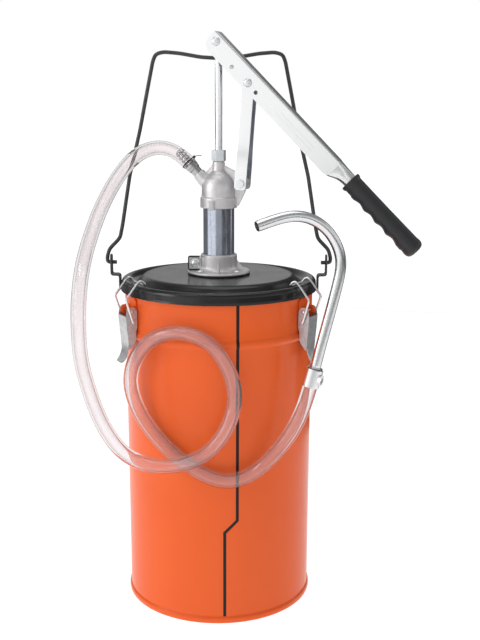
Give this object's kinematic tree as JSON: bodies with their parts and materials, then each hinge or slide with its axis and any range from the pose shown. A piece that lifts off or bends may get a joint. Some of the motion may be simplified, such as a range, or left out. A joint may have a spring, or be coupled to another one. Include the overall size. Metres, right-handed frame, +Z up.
{
  "type": "gear oil pump",
  "caption": "Hand-lever oil pump on a steel pail, with a clamped lid, carry bail, clear delivery hose and bent steel nozzle.",
  "frame": {"origin": "centre of the pail base's underside, on the pail axis", "axes": "+Z up along the pail axis, -Y towards the front where the hose loop hangs, +X towards the lever's grip"},
  "size_m": [0.4335, 0.3108, 0.7574],
  "materials": {
    "orange_paint": "gloss",
    "black_paint": "gloss",
    "cast_aluminium": "bead blasted",
    "zinc_plate": "zinc plated",
    "bright_zinc": "bright zinc plated",
    "galvanised": "galvanised",
    "dark_steel": "satin",
    "black_rubber": "matt",
    "seal_rubber": "matt",
    "clear_hose": "clear",
    "brass": "machined"
  },
  "bodies": {
    "pail": {"pail_shell": "orange_paint", "pail_base": "orange_paint", "latch_bracket_left": "orange_paint", "latch_bracket_right": "orange_paint", "latch_bracket_back": "orange_paint", "lid": "black_paint", "lid_skirt": "black_paint", "base_flange": "cast_aluminium", "vent_block": "cast_aluminium", "pump_head": "cast_aluminium", "gland_nut": "cast_aluminium", "outlet_barb": "cast_aluminium", "barrel": "zinc_plate", "nozzle_tube": "zinc_plate", "flange_screw_1": "bright_zinc", "flange_screw_2": "bright_zinc", "flange_screw_3": "bright_zinc", "flange_screw_4": "bright_zinc", "vent_screw": "bright_zinc", "foot_valve_ball": "bright_zinc", "strainer": "bright_zinc", "latch_pin_left": "bright_zinc", "latch_pin_right": "bright_zinc", "latch_pin_back": "bright_zinc", "nozzle_clamp": "galvanised", "bail_bracket_left": "dark_steel", "bail_bracket_right": "dark_steel", "vent_band": "black_rubber", "hose_tie": "black_rubber", "lid_gasket": "seal_rubber", "flange_gasket": "seal_rubber", "gland_packing": "seal_rubber", "hose": "clear_hose", "foot_valve_body": "brass"},
    "rod": {"piston_rod": "bright_zinc", "piston": "brass", "piston_ring": "seal_rubber", "piston_nut": "bright_zinc"},
    "lever": {"lever_arm": "bright_zinc", "grip": "black_rubber", "rod_pin": "bright_zinc", "fulcrum_rivet_front": "bright_zinc", "fulcrum_rivet_rear": "bright_zinc"},
    "links": {"link_front": "bright_zinc", "link_rear": "bright_zinc", "link_sleeve": "zinc_plate", "link_pin": "zinc_plate", "link_bolt": "bright_zinc", "link_nut": "bright_zinc"},
    "bail": {"carry_bail": "dark_steel"},
    "latch_left": {"latch_lever_left": "galvanised"},
    "wire_left": {"latch_wire_left": "galvanised"},
    "latch_right": {"latch_lever_right": "galvanised"},
    "wire_right": {"latch_wire_right": "galvanised"},
    "latch_back": {"latch_lever_back": "galvanised"},
    "wire_back": {"latch_wire_back": "galvanised"}
  },
  "joints": [
    {"name": "rod_slide", "type": "slide", "parent": "pail", "child": "rod", "axis": [0, 0, -1], "range_m": [0, 0.058]},
    {"name": "lever_pivot", "type": "hinge", "parent": "rod", "child": "lever", "pos_m": [0, 0, 0.7438], "axis": [-0.2588, -0.9659, 0], "range_deg": [0, 55]},
    {"name": "link_pivot", "type": "hinge", "parent": "pail", "child": "links", "pos_m": [0.0311, -0.00833, 0.5668], "axis": [0.2588, 0.9659, 0], "range_deg": [0, 13]},
    {"name": "bail_swing", "type": "hinge", "parent": "pail", "child": "bail", "pos_m": [0, 0, 0.462], "axis": [-1, 0, 0], "range_deg": [-3, 115]},
    {"name": "latch_left_open", "type": "hinge", "parent": "pail", "child": "latch_left", "pos_m": [-0.11518, -0.0665, 0.4105], "axis": [-0.5, 0.866, 0], "range_deg": [0, 100]},
    {"name": "wire_left_swing", "type": "hinge", "parent": "latch_left", "child": "wire_left", "pos_m": [-0.11431, -0.066, 0.395], "axis": [-0.5, 0.866, 0], "range_deg": [-111, 0]},
    {"name": "latch_right_open", "type": "hinge", "parent": "pail", "child": "latch_right", "pos_m": [0.11518, -0.0665, 0.4105], "axis": [-0.5, -0.866, 0], "range_deg": [0, 100]},
    {"name": "wire_right_swing", "type": "hinge", "parent": "latch_right", "child": "wire_right", "pos_m": [0.11431, -0.066, 0.395], "axis": [-0.5, -0.866, 0], "range_deg": [-111, 0]},
    {"name": "latch_back_open", "type": "hinge", "parent": "pail", "child": "latch_back", "pos_m": [0, 0.133, 0.4105], "axis": [1, 0, 0], "range_deg": [0, 100]},
    {"name": "wire_back_swing", "type": "hinge", "parent": "latch_back", "child": "wire_back", "pos_m": [0, 0.132, 0.395], "axis": [1, 0, 0], "range_deg": [-111, 0]}
  ],
  "couplings": [
    {"joint": "rod_slide", "follows": "lever_pivot", "m_per_rad": 0.06016},
    {"joint": "link_pivot", "follows": "lever_pivot", "ratio": 0.23},
    {"joint": "wire_left_swing", "follows": "latch_left_open", "ratio": -1.1},
    {"joint": "wire_right_swing", "follows": "latch_right_open", "ratio": -1.1},
    {"joint": "wire_back_swing", "follows": "latch_back_open", "ratio": -1.1}
  ]
}
